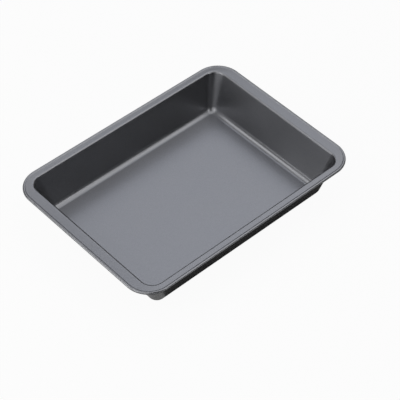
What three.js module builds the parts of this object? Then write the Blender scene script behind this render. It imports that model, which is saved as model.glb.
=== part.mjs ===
// A rectangular roasting and lasagne pan, pressed from one coated steel sheet.
// Millimetres, +Z up. X runs along the length, Y across, and the origin is the
// middle of the underside, where the pan stands.

import * as THREE from 'three';

const { degToRad, lerp } = THREE.MathUtils;

// Overall size, over the coats
const LENGTH = 382;
const WIDTH = 279;
const HEIGHT = 60;

// The sheet, the coat on each of its faces, and the wire in the rolled edge
const SHEET = 0.8;
const COAT = 0.04;
const WIRE_DIAMETER = 2.5;
const WIRE_CLEARANCE = 0.1;
const WIRE_JOINT_GAP = 1.5;

// The rim is wider at the two ends than along the two sides, and falls a little
// from its lip to its edge
const END_FLANGE = 19;
const SIDE_FLANGE = 13;
const RIM_FALL = 0.7;

// The walls lean outwards, measured from the vertical
const END_DRAFT = degToRad(19);
const SIDE_DRAFT = degToRad(13.5);
const FLOOR_FILLET = 10;
const LIP_RADIUS = 3.5;

// The roll round the rim stands a little above the edge of it
const CREST_RISE = 0.9;
const VALLEY_RADIUS = 1;
const CURL_END = degToRad(-150);

// Corner radii, seen from above: the rim's edge, the top and the foot of the walls,
// and the flat of the floor
const RIM_CORNER = 37;
const WALL_CORNER = 18;
const FOOT_CORNER = 11;
const FLOOR_CORNER = 5;

// How finely the round stretches are cut into facets
const CORNER_STEPS = 5;
const FILLET_STEPS = 3;
const LIP_STEPS = 3;
const VALLEY_STEPS = 3;
const CREST_STEPS = 2;
const CURL_STEPS = 8;
const WIRE_SIDES = 8;

// Sizes that follow from the ones above
const THICKNESS = SHEET + 2 * COAT;
const BEAD_RADIUS = WIRE_DIAMETER / 2 + WIRE_CLEARANCE + THICKNESS;
const RIM_EDGE = HEIGHT - CREST_RISE;
const LIP_TOP = RIM_EDGE + RIM_FALL;

// The four corners, as signs of x and y, counter-clockwise from above
const CORNERS = [[1, 1], [-1, 1], [-1, -1], [1, -1]];

// Points on an arc, from one angle to another
function arc(x, z, radius, from, to, steps) {
  return new THREE.EllipseCurve(x, z, radius, radius, from, to, to < from).getPoints(steps);
}

// One wall in section, as x outwards from the rim's edge and y upwards. Depth is
// measured into the sheet from its upper face, and keeps every arc's centre.
function wallSection(flange, draft, depth) {
  const reach = BEAD_RADIUS + VALLEY_RADIUS;
  const rise = reach - CREST_RISE;
  const run = Math.sqrt(reach ** 2 - rise ** 2);
  const meeting = Math.atan2(-rise, run);
  const slope = Math.atan2(RIM_FALL, flange - BEAD_RADIUS - run);
  const lipTangent = LIP_RADIUS * Math.tan((Math.PI / 2 - draft + slope) / 2);
  const lipX = lipTangent * Math.cos(slope) - LIP_RADIUS * Math.sin(slope) - flange;
  const lipZ = LIP_TOP - lipTangent * Math.sin(slope) - LIP_RADIUS * Math.cos(slope);
  const filletTangent = FLOOR_FILLET * Math.tan((Math.PI / 2 - draft) / 2);
  const foot = -flange - (LIP_TOP - THICKNESS) * Math.tan(draft);
  const fillet = arc(foot - filletTangent, THICKNESS + FLOOR_FILLET, FLOOR_FILLET + depth,
    -Math.PI / 2, -draft, FILLET_STEPS);
  const lip = arc(lipX, lipZ, LIP_RADIUS - depth, Math.PI - draft, Math.PI / 2 - slope, LIP_STEPS);
  const valley = arc(-BEAD_RADIUS - run, RIM_EDGE + VALLEY_RADIUS, VALLEY_RADIUS + depth,
    -Math.PI / 2, meeting, VALLEY_STEPS);
  const roll = (from, to, steps) => arc(-BEAD_RADIUS, HEIGHT - BEAD_RADIUS,
    BEAD_RADIUS - depth, from, to, steps).slice(1);
  const crest = roll(meeting + Math.PI, Math.PI / 2, CREST_STEPS);
  const curl = roll(Math.PI / 2, CURL_END, CURL_STEPS);
  return { fillet, lip, rim: [...valley, ...crest, ...curl] };
}

// The end wall's and the side wall's sections, point by point, with the corner
// radius that joins them there
function stations(depth) {
  const end = wallSection(END_FLANGE, END_DRAFT, depth);
  const side = wallSection(SIDE_FLANGE, SIDE_DRAFT, depth);
  const pair = (list, cornerAt) => end[list].map((point, i) => {
    const mean = (point.x + side[list][i].x) / 2;
    return { end: point, side: side[list][i], corner: cornerAt(mean, i) };
  });
  const meanFlange = (END_FLANGE + SIDE_FLANGE) / 2;
  return [
    ...pair('fillet', (mean, i) => lerp(FLOOR_CORNER, FOOT_CORNER, i / FILLET_STEPS)),
    ...pair('lip', (mean) => WALL_CORNER + mean + meanFlange),
    ...pair('rim', (mean) => RIM_CORNER + mean),
  ];
}

// A rounded rectangle through one station, counter-clockwise from above. Its
// height passes smoothly from the end wall's to the side wall's in each corner.
function ring({ end, side, corner }) {
  const points = [];
  CORNERS.forEach(([signX, signY], quarter) => {
    const centreX = signX * (LENGTH / 2 + end.x - corner);
    const centreY = signY * (WIDTH / 2 + side.x - corner);
    for (let step = 0; step <= CORNER_STEPS; step += 1) {
      const angle = (quarter + step / CORNER_STEPS) * (Math.PI / 2);
      const across = Math.sin(angle);
      points.push(new THREE.Vector3(
        centreX + corner * Math.cos(angle),
        centreY + corner * across,
        lerp(end.y, side.y, across ** 2),
      ));
    }
  });
  return points;
}

// Two triangles over each gap between neighbouring rings
function skin(rings) {
  const triangles = [];
  for (let i = 0; i + 1 < rings.length; i += 1) {
    const inner = rings[i];
    const outer = rings[i + 1];
    inner.forEach((point, k) => {
      const next = (k + 1) % inner.length;
      triangles.push([point, outer[k], outer[next]], [point, outer[next], inner[next]]);
    });
  }
  return triangles;
}

// A fan that closes a ring
function cap(points) {
  const middle = new THREE.Vector3();
  points.forEach((point) => middle.add(point));
  middle.divideScalar(points.length);
  return points.map((point, k) => [middle, point, points[(k + 1) % points.length]]);
}

// The same triangles, facing the other way
function turned(triangles) {
  return triangles.map(([a, b, c]) => [a, c, b]);
}

function solid(name, triangles, material) {
  const geometry = new THREE.BufferGeometry().setFromPoints(triangles.flat());
  geometry.computeVertexNormals();
  const mesh = new THREE.Mesh(geometry, new THREE.MeshStandardMaterial(material));
  mesh.name = name;
  return mesh;
}

// A layer of the pressed sheet between two depths, from floor to curl
function pressedLayer(name, from, to, material) {
  const upper = stations(from).map(ring);
  const lower = stations(to).map(ring);
  const cutEdge = skin([upper.at(-1), lower.at(-1)]);
  const triangles = [
    ...cap(upper[0]), ...skin(upper),
    ...cutEdge,
    ...turned([...cap(lower[0]), ...skin(lower)]),
  ];
  return solid(name, triangles, material);
}

// The wire lies along the middle of the roll. Its two ends meet, with a small
// gap, halfway along the +Y side.
function rimWire(name, material) {
  const radius = WIRE_DIAMETER / 2;
  const centre = new THREE.Vector2(-BEAD_RADIUS, HEIGHT - BEAD_RADIUS);
  const loops = [];
  for (let i = 0; i < WIRE_SIDES; i += 1) {
    const angle = (i / WIRE_SIDES) * 2 * Math.PI;
    const spoke = new THREE.Vector2(Math.cos(angle), Math.sin(angle)).multiplyScalar(radius);
    const point = centre.clone().add(spoke);
    loops.push(ring({ end: point, side: point, corner: RIM_CORNER + point.x }));
  }
  const cuts = loops[0].map((point, k) => loops.map((loop) => loop[k]));
  const firstCorner = CORNER_STEPS + 1;
  const joint = (x) => cuts[firstCorner].map((point) => point.clone().setX(x));
  const path = [
    joint(-WIRE_JOINT_GAP / 2),
    ...cuts.slice(firstCorner), ...cuts.slice(0, firstCorner),
    joint(WIRE_JOINT_GAP / 2),
  ];
  const triangles = [...cap(path[0]), ...skin(path), ...turned(cap(path.at(-1)))];
  return solid(name, triangles, material);
}

const pan = new THREE.Group();
pan.add(
  pressedLayer('nonstick_lining', 0, COAT, { color: 0x898a8f, roughness: 0.28, metalness: 0.95 }),
  pressedLayer('pan_shell', COAT, COAT + SHEET, { color: 0x9a9c9f, roughness: 0.45, metalness: 1 }),
  pressedLayer('outer_coating', COAT + SHEET, THICKNESS,
    { color: 0x303032, roughness: 0.5, metalness: 0 }),
  rimWire('rim_wire', { color: 0xa7a9ab, roughness: 0.35, metalness: 1 }),
);

export default pan;
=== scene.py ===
"""A pressed roasting pan, grey non-stick inside and satin black outside, in a white studio."""

import math

import bmesh
import bpy
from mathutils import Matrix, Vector


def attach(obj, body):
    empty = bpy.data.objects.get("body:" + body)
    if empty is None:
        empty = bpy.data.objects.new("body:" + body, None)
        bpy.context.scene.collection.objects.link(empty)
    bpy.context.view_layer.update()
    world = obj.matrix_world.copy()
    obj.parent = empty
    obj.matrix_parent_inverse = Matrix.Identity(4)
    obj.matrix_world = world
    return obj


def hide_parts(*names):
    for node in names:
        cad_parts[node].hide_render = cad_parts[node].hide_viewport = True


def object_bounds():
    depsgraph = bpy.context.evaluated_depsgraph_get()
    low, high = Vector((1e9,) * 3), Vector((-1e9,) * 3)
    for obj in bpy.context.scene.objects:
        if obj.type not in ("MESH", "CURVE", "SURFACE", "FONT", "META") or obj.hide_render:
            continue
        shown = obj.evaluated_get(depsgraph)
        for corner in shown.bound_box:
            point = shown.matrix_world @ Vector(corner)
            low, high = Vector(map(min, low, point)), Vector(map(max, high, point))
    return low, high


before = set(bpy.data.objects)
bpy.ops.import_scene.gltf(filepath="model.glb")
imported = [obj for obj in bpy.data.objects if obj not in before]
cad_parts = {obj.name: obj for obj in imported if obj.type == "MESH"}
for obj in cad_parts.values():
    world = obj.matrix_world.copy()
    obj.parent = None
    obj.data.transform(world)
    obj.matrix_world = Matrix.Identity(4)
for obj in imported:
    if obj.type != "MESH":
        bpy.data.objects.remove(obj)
cad_low, cad_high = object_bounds()

MM = 0.001

# Overall size, from the frame, to a tenth of a millimetre
LENGTH = round(cad_high.x - cad_low.x, 4)
WIDTH = round(cad_high.y - cad_low.y, 4)
HEIGHT = round(cad_high.z, 4)

# The sheet, its coats and the wire in its rolled edge
SHEET = 0.8 * MM
COAT = 0.04 * MM
THICKNESS = SHEET + 2 * COAT
WIRE_RADIUS = 1.25 * MM
WIRE_CLEARANCE = 0.1 * MM
WIRE_JOINT_GAP = 1.5 * MM

# Rim, walls and floor
END_FLANGE = 19 * MM
SIDE_FLANGE = 13 * MM
RIM_FALL = 0.7 * MM
END_DRAFT = math.radians(19)
SIDE_DRAFT = math.radians(13.5)
FLOOR_FILLET = 10 * MM
LIP_RADIUS = 3.5 * MM
RIM_CORNER = 37 * MM
FOOT_CORNER = 11 * MM

# The roll round the rim
BEAD_RADIUS = WIRE_RADIUS + WIRE_CLEARANCE + THICKNESS
CREST_RISE = 0.9 * MM
VALLEY_RADIUS = 1 * MM
CURL_END = math.radians(-150)
RIM_EDGE = HEIGHT - CREST_RISE
LIP_TOP = RIM_EDGE + RIM_FALL

# Where the roll is painted black as shade, for the dark its outer side mirrors, as turns round it from
# its crest outwards
ROLL_SHADE_START = math.radians(70)
ROLL_SHADE_FULL = math.radians(98)

# How finely the round stretches are cut
CORNER_STEPS = 24
FILLET_STEPS = 14
LIP_STEPS = 8
VALLEY_STEPS = 6
CREST_STEPS = 5
CURL_STEPS = 24
WIRE_SIDES = 16

# Edges that turn more than this look sharp
SMOOTH_ANGLE = math.radians(40)

# Tolerances for finding points by their place, and for merging them
NEAR = 0.02 * MM
MERGED = 0.002 * MM


# Selecting and moving

def select_only(piece):
    bpy.ops.object.select_all(action="DESELECT")
    bpy.context.view_layer.objects.active = piece
    piece.select_set(True)


def edit(piece):
    select_only(piece)
    bpy.ops.object.mode_set(mode="EDIT")


def leave_edit():
    bpy.ops.object.mode_set(mode="OBJECT")


def select_points(piece, wanted):
    """Selects the vertices that pass the test, with the edges and faces between them."""
    bpy.ops.mesh.select_mode(type="VERT")
    bpy.ops.mesh.select_all(action="DESELECT")
    mesh = bmesh.from_edit_mesh(piece.data)
    for point in mesh.verts:
        point.select = wanted(point)
    mesh.select_flush_mode()
    bmesh.update_edit_mesh(piece.data)


def selected_points(piece):
    """The selected vertices, by number. Moving them keeps their numbers."""
    return {point.index for point in bmesh.from_edit_mesh(piece.data).verts if point.select}


def spread(piece, along_x, along_y):
    """Moves the four sides of the selected loop outwards by these distances."""
    loop = selected_points(piece)
    for axis, distance in ((0, along_x), (1, along_y)):
        for sign in (1, -1):
            select_points(piece, lambda point: point.index in loop and point.co[axis] * sign > 0)
            step = [0, 0, 0]
            step[axis] = sign * distance
            bpy.ops.transform.translate(value=step)
    select_points(piece, lambda point: point.index in loop)


def scale_corners(piece, factor, centre_x, centre_y):
    """Scales each corner of the selected loop about a centre of its own."""
    loop = selected_points(piece)
    for sign_x in (1, -1):
        for sign_y in (1, -1):
            select_points(piece, lambda point: point.index in loop
                          and point.co.x * sign_x > 0 and point.co.y * sign_y > 0)
            centre = (sign_x * centre_x, sign_y * centre_y, 0)
            bpy.ops.transform.resize(value=(factor, factor, 1), center_override=centre)
    select_points(piece, lambda point: point.index in loop)


def plane(name, width, height, place, turn=(0, 0, 0)):
    """A flat rectangle, with its size, place and turn in its mesh."""
    bpy.ops.object.select_all(action="DESELECT")
    bpy.ops.mesh.primitive_plane_add(size=1, location=place, rotation=turn)
    rectangle = bpy.context.object
    rectangle.name = name
    rectangle.scale = (width, height, 1)
    bpy.ops.object.transform_apply(location=True, rotation=True, scale=True)
    return rectangle


# The pressed sheet

def rounded_plate(name, length, width, corner, height):
    """A flat plate with round corners, left in edit mode with its face selected."""
    plate = plane(name, length, width, (0, 0, height))
    edit(plate)
    bpy.ops.mesh.select_all(action="SELECT")
    bpy.ops.mesh.bevel(offset=corner, segments=CORNER_STEPS, affect="VERTICES", clamp_overlap=False)
    bpy.ops.mesh.select_mode(type="FACE")
    bpy.ops.mesh.select_all(action="SELECT")
    return plate


def arc(out, height, radius, start, end, steps):
    """Points along an arc in section, after its first."""
    turns = [start + (end - start) * step / steps for step in range(1, steps + 1)]
    return [(out + radius * math.cos(turn), height + radius * math.sin(turn)) for turn in turns]


def curl_outline():
    """The roll in section, as distances out from the pan's outer edge and heights.

    Gives where the flat of the rim ends, and the steps of the roll from there.
    """
    reach = BEAD_RADIUS + VALLEY_RADIUS
    rise = reach - CREST_RISE
    run = math.sqrt(reach ** 2 - rise ** 2)
    meeting = math.atan2(-rise, run)
    flat_edge = -BEAD_RADIUS - run
    bead = (-BEAD_RADIUS, HEIGHT - BEAD_RADIUS, BEAD_RADIUS)
    valley = arc(flat_edge, RIM_EDGE + VALLEY_RADIUS, VALLEY_RADIUS, -math.pi / 2, meeting, VALLEY_STEPS)
    crest = arc(*bead, meeting + math.pi, math.pi / 2, CREST_STEPS)
    curl = arc(*bead, math.pi / 2, CURL_END, CURL_STEPS)
    return flat_edge, valley + crest + curl


def pressed_skin():
    """The upper face of the sheet: floor, walls, rim and roll."""
    flat_edge, curl = curl_outline()
    depth = LIP_TOP - THICKNESS
    skin = rounded_plate("pressed_skin", LENGTH + 2 * flat_edge, WIDTH + 2 * flat_edge,
                         RIM_CORNER + flat_edge, RIM_EDGE)

    # The well's mouth: an even inset, the long sides moved out to their narrower rim, and lifted
    bpy.ops.mesh.inset(thickness=END_FLANGE + flat_edge)
    spread(skin, 0, END_FLANGE - SIDE_FLANGE)
    bpy.ops.transform.translate(value=(0, 0, RIM_FALL))

    # The well: pushed straight down, then its floor drawn in by the walls' lean and its
    # corners made tighter
    bpy.ops.mesh.extrude_region_move(TRANSFORM_OT_translate={"value": (0, 0, -depth)})
    end_lean = depth * math.tan(END_DRAFT)
    side_lean = depth * math.tan(SIDE_DRAFT)
    spread(skin, -end_lean, -side_lean)
    mouth_corner = RIM_CORNER - END_FLANGE
    scale_corners(skin, FOOT_CORNER / mouth_corner, LENGTH / 2 - END_FLANGE - end_lean,
                  WIDTH / 2 - SIDE_FLANGE - side_lean)

    # The foot of the walls and the lip of the mouth, rounded
    turn = math.pi / 2 - (END_DRAFT + SIDE_DRAFT) / 2
    slope = math.atan2(RIM_FALL, (END_FLANGE + SIDE_FLANGE) / 2 + flat_edge)
    bpy.ops.mesh.bevel(offset=FLOOR_FILLET * math.tan(turn / 2), segments=FILLET_STEPS,
                       affect="EDGES", clamp_overlap=False)
    mouth_x = LENGTH / 2 - END_FLANGE + NEAR
    mouth_y = WIDTH / 2 - SIDE_FLANGE + NEAR
    select_points(skin, lambda point: point.co.z > LIP_TOP - NEAR
                  and abs(point.co.x) < mouth_x and abs(point.co.y) < mouth_y)
    bpy.ops.mesh.bevel(offset=LIP_RADIUS * math.tan((turn + slope) / 2), segments=LIP_STEPS,
                       affect="EDGES", clamp_overlap=False)

    # The roll: the rim's edge is drawn out and over, one step at a time
    out, height = flat_edge, RIM_EDGE
    select_points(skin, lambda point: point.is_boundary)
    for next_out, next_height in curl:
        lift = (0, 0, next_height - height)
        bpy.ops.mesh.extrude_region_move(TRANSFORM_OT_translate={"value": lift})
        scale_corners(skin, (RIM_CORNER + next_out) / (RIM_CORNER + out),
                      LENGTH / 2 - RIM_CORNER, WIDTH / 2 - RIM_CORNER)
        out, height = next_out, next_height
    leave_edit()
    return skin


def smooth(piece):
    bpy.ops.object.shade_smooth_by_angle(angle=SMOOTH_ANGLE)
    weighted = piece.modifiers.new("weighted", "WEIGHTED_NORMAL")
    weighted.keep_sharp = True
    bpy.ops.object.modifier_apply(modifier=weighted.name)


def sheet_layer(skin, name, depth, thickness):
    """One layer of the sheet, this deep below the skin and this thick."""
    select_only(skin)
    bpy.ops.object.duplicate()
    layer = bpy.context.object
    layer.name = name
    solidify = layer.modifiers.new("thickness", "SOLIDIFY")
    solidify.thickness = thickness
    solidify.offset = -1 - 2 * depth / thickness
    solidify.use_even_offset = True
    bpy.ops.object.modifier_apply(modifier=solidify.name)
    smooth(layer)
    return layer


def roll_shade_share(point):
    """How much of the roll's painted shade falls here: none on its crest, all of it on its outer side.
    """
    # The distance in from the pan's outer edge
    beyond_x = abs(point.x) - (LENGTH / 2 - RIM_CORNER)
    beyond_y = abs(point.y) - (WIDTH / 2 - RIM_CORNER)
    reach = math.hypot(max(beyond_x, 0), max(beyond_y, 0)) + min(max(beyond_x, beyond_y), 0)
    inside = RIM_CORNER - reach
    if inside > 2 * BEAD_RADIUS:
        return 0

    # The turn round the roll, from its crest outwards and under. Past three quarters of a
    # turn it is the inner side of the crest.
    turn = math.atan2(BEAD_RADIUS - inside, point.z - HEIGHT + BEAD_RADIUS) % math.tau
    if turn > 1.5 * math.pi:
        return 0
    return min(max((turn - ROLL_SHADE_START) / (ROLL_SHADE_FULL - ROLL_SHADE_START), 0), 1)


def mark_roll_shade(piece):
    roll_shade = piece.data.attributes.new("roll_shade", "FLOAT", "POINT")
    for point, mark in zip(piece.data.vertices, roll_shade.data):
        mark.value = roll_shade_share(point.co)


# The wire

def rim_wire(name):
    """The wire in the roll: a round bar drawn along the four sides and spun round the corners."""
    corner_x = LENGTH / 2 - RIM_CORNER
    corner_y = WIDTH / 2 - RIM_CORNER
    start = (-WIRE_JOINT_GAP / 2, WIDTH / 2 - BEAD_RADIUS, HEIGHT - BEAD_RADIUS)
    bpy.ops.object.select_all(action="DESELECT")
    bpy.ops.mesh.primitive_circle_add(vertices=WIRE_SIDES, radius=WIRE_RADIUS, fill_type="NGON",
                                      location=start, rotation=(0, math.pi / 2, 0))
    wire = bpy.context.object
    wire.name = name
    bpy.ops.object.transform_apply(location=True, rotation=True, scale=True)
    edit(wire)
    bpy.ops.mesh.select_all(action="SELECT")

    # Each side with the corner after it, and then back to the joint
    half_side = corner_x - WIRE_JOINT_GAP / 2
    legs = [((-half_side, 0, 0), (-1, 1)), ((0, -2 * corner_y, 0), (-1, -1)),
            ((2 * corner_x, 0, 0), (1, -1)), ((0, 2 * corner_y, 0), (1, 1))]
    for leg, (sign_x, sign_y) in legs:
        bpy.ops.mesh.extrude_region_move(TRANSFORM_OT_translate={"value": leg})
        bpy.ops.mesh.spin(steps=CORNER_STEPS, angle=-math.pi / 2, axis=(0, 0, 1),
                          center=(sign_x * corner_x, sign_y * corner_y, 0))
    bpy.ops.mesh.extrude_region_move(TRANSFORM_OT_translate={"value": (-half_side, 0, 0)})
    bpy.ops.mesh.select_all(action="SELECT")
    bpy.ops.mesh.remove_doubles(threshold=MERGED)
    bpy.ops.mesh.normals_make_consistent(inside=False)
    leave_edit()
    smooth(wire)
    return wire


# Materials

# The part of a noise's range that most of it lies in
NOISE_LOW = 0.3
NOISE_HIGH = 0.7

# Black painted on the roll's outer side as shade, for the dark that side mirrors, and how much rougher
# than the lining it is there
ROLL_SHADE_BLACK = (0.026, 0.026, 0.027, 1)
ROLL_SHADE_DULLNESS = 0.25


def shader(name):
    material = bpy.data.materials.new(name)
    material.use_nodes = True
    nodes = material.node_tree.nodes
    return material, nodes, material.node_tree.links, nodes["Principled BSDF"]


def noise(nodes, links, scale, detail, stretch=(1, 1, 1)):
    """Noise over the piece, with this many features to the metre."""
    place = nodes.new("ShaderNodeTexCoord")
    mapping = nodes.new("ShaderNodeMapping")
    mapping.inputs["Scale"].default_value = stretch
    grain = nodes.new("ShaderNodeTexNoise")
    grain.inputs["Scale"].default_value = scale
    grain.inputs["Detail"].default_value = detail
    links.new(place.outputs["Object"], mapping.inputs["Vector"])
    links.new(mapping.outputs["Vector"], grain.inputs["Vector"])
    return grain.outputs["Fac"]


def between(nodes, links, value, low, high, start=0, end=1):
    """A value that goes from low to high as another goes from start to end."""
    passing = nodes.new("ShaderNodeMapRange")
    passing.inputs["From Min"].default_value = start
    passing.inputs["From Max"].default_value = end
    passing.inputs["To Min"].default_value = low
    passing.inputs["To Max"].default_value = high
    links.new(value, passing.inputs["Value"])
    return passing.outputs["Result"]


def graded(nodes, links, grain, low, high):
    """A value from low to high, by a noise."""
    return between(nodes, links, grain, low, high, NOISE_LOW, NOISE_HIGH)


def tinted(nodes, links, grain, dark, light):
    """A colour from dark to light, by a noise."""
    tone = nodes.new("ShaderNodeValToRGB")
    ends = tone.color_ramp.elements
    ends[0].position = NOISE_LOW
    ends[0].color = (*dark, 1)
    ends[1].position = NOISE_HIGH
    ends[1].color = (*light, 1)
    links.new(grain, tone.inputs["Fac"])
    return tone.outputs["Color"]


def scaled(nodes, links, color, value):
    product = nodes.new("ShaderNodeVectorMath")
    product.operation = "SCALE"
    links.new(color, product.inputs[0])
    links.new(value, product.inputs["Scale"])
    return product.outputs["Vector"]


def uneven(nodes, links, surface, grain, strength, depth):
    """Bumps in the surface, by a noise."""
    bump = nodes.new("ShaderNodeBump")
    bump.inputs["Strength"].default_value = strength
    bump.inputs["Distance"].default_value = depth
    links.new(grain, bump.inputs["Height"])
    links.new(bump.outputs["Normal"], surface.inputs["Normal"])


def nonstick_finish():
    """The grey lining: metallic flecks, soft clouding and a slight orange peel under a clear coat.

    On the outer side of the roll it is painted black, as shade for the dark that side mirrors.
    """
    material, nodes, links, surface = shader("nonstick_finish")
    fleck = noise(nodes, links, scale=1400, detail=2)
    cloud = noise(nodes, links, scale=16, detail=3)
    peel = noise(nodes, links, scale=420, detail=1)
    mark = nodes.new("ShaderNodeAttribute")
    mark.attribute_name = "roll_shade"
    roll_shade = mark.outputs["Fac"]

    flecked = tinted(nodes, links, fleck, dark=(0.235, 0.238, 0.252), light=(0.285, 0.289, 0.306))
    clouded = scaled(nodes, links, flecked, graded(nodes, links, cloud, low=0.97, high=1.03))
    # Black painted over the roll's outer side, as shade
    roll_shaded = nodes.new("ShaderNodeMix")
    roll_shaded.data_type = "RGBA"
    roll_shaded.inputs["B"].default_value = ROLL_SHADE_BLACK
    links.new(roll_shade, roll_shaded.inputs["Factor"])
    links.new(clouded, roll_shaded.inputs["A"])
    links.new(roll_shaded.outputs["Result"], surface.inputs["Base Color"])

    duller = nodes.new("ShaderNodeMath")
    duller.operation = "MULTIPLY_ADD"
    duller.inputs[1].default_value = ROLL_SHADE_DULLNESS
    links.new(roll_shade, duller.inputs[0])
    links.new(graded(nodes, links, cloud, low=0.3, high=0.35), duller.inputs[2])
    links.new(duller.outputs[0], surface.inputs["Roughness"])
    links.new(between(nodes, links, roll_shade, low=0.95, high=0), surface.inputs["Metallic"])
    links.new(between(nodes, links, roll_shade, low=0.3, high=0), surface.inputs["Coat Weight"])
    surface.inputs["Coat Roughness"].default_value = 0.15
    surface.inputs["Specular IOR Level"].default_value = 0.01
    uneven(nodes, links, surface, peel, strength=0.05, depth=0.1 * MM)
    return material


def black_finish():
    """The outer coat: satin black, finely pebbled, with paler specks and soft clouding."""
    material, nodes, links, surface = shader("black_finish")
    speck = noise(nodes, links, scale=900, detail=3)
    cloud = noise(nodes, links, scale=22, detail=3)
    pebble = noise(nodes, links, scale=650, detail=2)
    specked = tinted(nodes, links, speck, dark=(0.021, 0.021, 0.0218), light=(0.032, 0.032, 0.0333))
    clouded = scaled(nodes, links, specked, graded(nodes, links, cloud, low=0.85, high=1.15))
    links.new(clouded, surface.inputs["Base Color"])
    links.new(graded(nodes, links, cloud, low=0.4, high=0.48), surface.inputs["Roughness"])
    uneven(nodes, links, surface, pebble, strength=0.15, depth=0.1 * MM)
    return material


def steel_finish():
    """Bare drawn steel, with level streaks along the cut edge and the wire."""
    material, nodes, links, surface = shader("steel_finish")
    streak = noise(nodes, links, scale=40, detail=3, stretch=(1, 1, 60))
    streaked = tinted(nodes, links, streak, dark=(0.42, 0.42, 0.43), light=(0.6, 0.6, 0.61))
    links.new(streaked, surface.inputs["Base Color"])
    links.new(graded(nodes, links, streak, low=0.28, high=0.42), surface.inputs["Roughness"])
    surface.inputs["Metallic"].default_value = 1
    uneven(nodes, links, surface, streak, strength=0.1, depth=0.05 * MM)
    return material


# Stage

# The floor: its size in metres, how far below the underside it lies, its tone, and the
# share of plain white in it where it is seen or mirrored
FLOOR_SIZE = 30
FLOOR_GAP = 0.2 * MM
FLOOR_TONE = 0.9
FLOOR_WHITE = 0.95

# The studio's brightness where it lights the pan but isn't seen or mirrored
STUDIO_FILL = 0.6

# The tones of the flags and of the floor card, whose grey is painted shade, and how rough the floor and
# the cards are
FLAG_TONE = 0.02
SHADOW_CARD_TONE = 0.7
MATT = 0.9

# The card on the floor beside the near long side, painted shade where the pan's shadow lies under and
# beside the rim, for the outer coat to mirror: how far from the near end it starts, and how far it goes
# past the far end, out from the rim and in under it
CARD_START = 56 * MM
CARD_PAST = 99 * MM
CARD_OUT = 160.5 * MM
CARD_UNDER = 39.5 * MM

# The colours of the lamps
WHITE = (1, 1, 1)
SKY_BLUE = (0.22, 0.44, 1)


def direction(azimuth, elevation):
    """From the pan towards this azimuth and elevation, azimuth 0 being -Y and 90 degrees +X."""
    return Vector((math.sin(azimuth) * math.cos(elevation),
                   -math.cos(azimuth) * math.cos(elevation),
                   math.sin(elevation)))


def plainly_seen(nodes, links):
    """1 for the camera's rays and for those that metal or glass turns, otherwise 0."""
    path = nodes.new("ShaderNodeLightPath")
    seen = path.outputs["Is Camera Ray"]
    for ray in ("Is Glossy Ray", "Is Transmission Ray"):
        either = nodes.new("ShaderNodeMath")
        either.operation = "MAXIMUM"
        links.new(seen, either.inputs[0])
        links.new(path.outputs[ray], either.inputs[1])
        seen = either.outputs[0]
    return seen


def white_floor():
    """A white floor that still takes the pan's shadow."""
    floor = plane("studio_floor", FLOOR_SIZE, FLOOR_SIZE, (0, 0, -FLOOR_GAP))
    material, nodes, links, surface = shader("studio_white")
    surface.inputs["Base Color"].default_value = (FLOOR_TONE, FLOOR_TONE, FLOOR_TONE, 1)
    surface.inputs["Roughness"].default_value = MATT
    glow = nodes.new("ShaderNodeEmission")
    blend = nodes.new("ShaderNodeMixShader")
    white = between(nodes, links, plainly_seen(nodes, links), low=0, high=FLOOR_WHITE)
    links.new(white, blend.inputs["Fac"])
    links.new(surface.outputs[0], blend.inputs[1])
    links.new(glow.outputs[0], blend.inputs[2])
    links.new(blend.outputs[0], nodes["Material Output"].inputs["Surface"])
    floor.data.materials.append(material)


def surroundings():
    """A white studio, dimmer where it only lights the pan."""
    world = bpy.data.worlds.new("studio")
    bpy.context.scene.world = world
    world.use_nodes = True
    nodes, links = world.node_tree.nodes, world.node_tree.links
    background = nodes["Background"]
    background.inputs["Color"].default_value = (1, 1, 1, 1)
    strength = between(nodes, links, plainly_seen(nodes, links), low=STUDIO_FILL, high=1)
    links.new(strength, background.inputs["Strength"])


def softbox(name, azimuth, elevation, distance, size, power, color):
    """A square lamp that looks at the pan from this direction."""
    light = bpy.data.lights.new(name, "AREA")
    light.size = size
    light.energy = power
    light.color = color
    lamp = bpy.data.objects.new(name, light)
    bpy.context.scene.collection.objects.link(lamp)
    back = direction(azimuth, elevation)
    lamp.location = distance * back
    lamp.rotation_euler = back.to_track_quat("Z", "Y").to_euler()


def studio_lamps():
    # Azimuth and elevation in degrees, distance and size in metres, power in watts, colour
    for name, azimuth, elevation, distance, size, power, color in (
            ("left_lamp", -97, 46, 2.2, 0.24, 2.2, WHITE),
            ("back_lamp", -138, 48, 2.2, 0.5, 1.2, WHITE),
            ("right_lamp", 22, 46, 2.2, 0.24, 1.5, WHITE),
            ("low_softbox", -112, 9, 1.4, 0.5, 2.6, WHITE),
            ("side_softbox", 66, 58, 2.2, 0.8, 1, WHITE),
            ("back_window", 138, 52, 2.2, 1.2, 0.7, SKY_BLUE)):
        softbox(name, math.radians(azimuth), math.radians(elevation), distance, size, power, color)


def mirrored_card(name, tone, width, height, place, turn=(0, 0, 0)):
    """A card that the camera doesn't see, for the pan to mirror."""
    card = plane(name, width, height, place, turn)
    material, _, _, surface = shader(name)
    surface.inputs["Base Color"].default_value = (tone, tone, tone, 1)
    surface.inputs["Roughness"].default_value = MATT
    surface.inputs["Specular IOR Level"].default_value = 0
    card.data.materials.append(material)
    card.visible_camera = False
    return card


def black_flag(name, azimuth, distance, width, low, high):
    """An upright black card that hangs between two heights."""
    place = distance * direction(azimuth, 0) + Vector((0, 0, (low + high) / 2))
    mirrored_card(name, FLAG_TONE, width, high - low, place, (math.pi / 2, 0, azimuth))


def shadow_card(name, low_x, high_x, low_y, high_y):
    """A grey card on the floor, seen only in the gloss of the outer coat: painted shade, standing for
    the pan's shadow on the floor beside the near long side.
    """
    place = ((low_x + high_x) / 2, (low_y + high_y) / 2, -FLOOR_GAP / 2)
    card = mirrored_card(name, SHADOW_CARD_TONE, high_x - low_x, high_y - low_y, place)
    card.visible_diffuse = False
    card.visible_shadow = False


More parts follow.
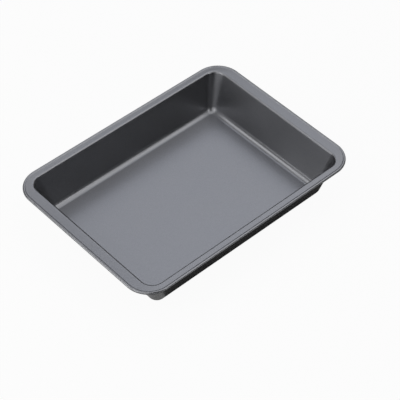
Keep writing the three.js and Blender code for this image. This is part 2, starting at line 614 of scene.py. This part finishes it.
def studio_cards():
    # Azimuth in degrees, then distance, width, and the heights it hangs between, in metres
    for name, azimuth, distance, width, low, high in (
            ("right_flag", 52, 1.5, 2.5, 0, 1.25),
            ("far_flag", 142, 1.5, 5.2, 0, 0.87),
            ("gap_flag", 176, 1, 0.5, 1.25, 3.7),
            ("near_flag", -20, 1, 0.9, 0, 3.7),
            ("left_flag", -140, 1.5, 2.5, 0, 1.17)):
        black_flag(name, math.radians(azimuth), distance, width, low, high)
    # A grey card as painted shade, for the pan's shadow on the floor beside the near long side
    shadow_card("side_shadow_card", -LENGTH / 2 + CARD_START, LENGTH / 2 + CARD_PAST,
               -WIDTH / 2 - CARD_OUT, -WIDTH / 2 + CARD_UNDER)


# Camera, from the lines of the rim, walls and floor in the photograph

VIEW_AZIMUTH = math.radians(-42.1)
VIEW_ELEVATION = math.radians(46.77)
VIEW_DISTANCE = 2.0554
VIEW_TARGET = Vector((-0.0031, -0.0326, 0.03))
FOCAL_PIXELS = 1506.5
FRAME_PIXELS = 400


def photograph_camera():
    data = bpy.data.cameras.new("camera")
    data.lens = data.sensor_width * FOCAL_PIXELS / FRAME_PIXELS
    camera = bpy.data.objects.new("camera", data)
    bpy.context.scene.collection.objects.link(camera)
    back = direction(VIEW_AZIMUTH, VIEW_ELEVATION)
    camera.location = VIEW_TARGET + VIEW_DISTANCE * back
    camera.rotation_euler = back.to_track_quat("Z", "Y").to_euler()
    bpy.context.scene.camera = camera


# The whole

def dress(piece, node, material):
    """Gives a piece its finish, and puts it in the place of its CAD node."""
    piece.data.materials.append(material)
    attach(piece, "root")
    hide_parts(node)


bpy.context.scene.view_settings.view_transform = "Standard"
photograph_camera()
surroundings()
white_floor()
studio_lamps()
studio_cards()

lining_finish = nonstick_finish()
outer_finish = black_finish()
bare_steel = steel_finish()

pan_skin = pressed_skin()
lining = sheet_layer(pan_skin, "lining", 0, COAT)
# Marks the roll's outer side, which is painted black as shade
mark_roll_shade(lining)
dress(lining, "nonstick_lining", lining_finish)
dress(sheet_layer(pan_skin, "sheet", COAT, SHEET), "pan_shell", bare_steel)
dress(sheet_layer(pan_skin, "outer_coat", COAT + SHEET, COAT), "outer_coating", outer_finish)
dress(rim_wire("wire"), "rim_wire", bare_steel)
bpy.data.objects.remove(pan_skin)
